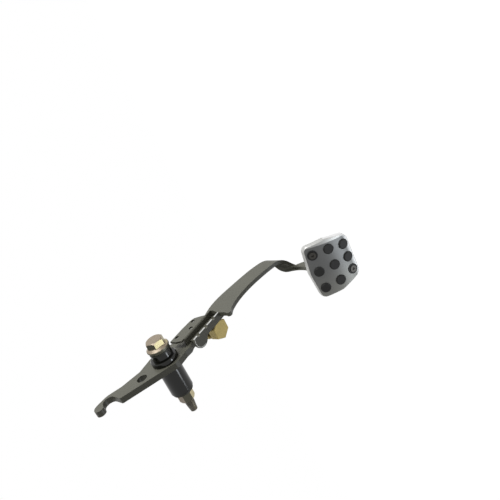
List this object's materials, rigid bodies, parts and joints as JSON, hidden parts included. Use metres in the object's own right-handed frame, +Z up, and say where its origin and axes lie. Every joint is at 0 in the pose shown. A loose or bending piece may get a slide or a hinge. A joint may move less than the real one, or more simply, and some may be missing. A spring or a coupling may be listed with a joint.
{
  "type": "clutch pedal",
  "caption": "Hanging clutch pedal with a welded pivot tube, hooked spring lever, pressed channel, stop bolt, twisted arm and studded aluminium pad.",
  "frame": {"origin": "on the pivot axis, in the outer face of the lever plate", "axes": "+X along the pivot axis towards the bolt head, +Y forwards away from the driver, +Z up"},
  "size_m": [0.0928, 0.0791, 0.3177],
  "materials": {
    "grey_paint": "satin",
    "black_paint": "gloss",
    "zinc_bright": "satin",
    "olive_washer": "satin",
    "gold_zinc": "satin",
    "steel_plain": "satin",
    "bush_plastic": "matte",
    "pad_aluminium": "satin",
    "black_rubber": "matte"
  },
  "bodies": {
    "pivot_mount": {"pivot_bolt": "zinc_bright", "pivot_washer": "olive_washer", "pivot_sleeve": "steel_plain", "nut_washer": "olive_washer", "pivot_nut": "zinc_bright"},
    "pedal": {"pivot_tube": "black_paint", "bush_bolt_side": "bush_plastic", "bush_nut_side": "bush_plastic", "lever_plate": "grey_paint", "arm_bracket": "grey_paint", "stop_lug": "grey_paint", "pedal_arm": "grey_paint", "stop_bolt": "gold_zinc", "stop_nut": "gold_zinc", "pad_backing_plate": "grey_paint", "pad_cover": "pad_aluminium", "rubber_stud_1": "black_rubber", "rubber_stud_2": "black_rubber", "rubber_stud_3": "black_rubber", "rubber_stud_4": "black_rubber", "rubber_stud_5": "black_rubber", "rubber_stud_6": "black_rubber", "rubber_stud_7": "black_rubber", "screw_ring_1": "black_rubber", "screw_ring_2": "black_rubber", "pad_screw_1": "steel_plain", "pad_screw_2": "steel_plain", "pad_nut_1": "steel_plain", "pad_nut_2": "steel_plain"}
  },
  "joints": [
    {"name": "pedal_swing", "type": "hinge", "parent": "pivot_mount", "child": "pedal", "pos_m": [0, 0, 0], "axis": [1, 0, 0], "range_deg": [0, 32]}
  ]
}
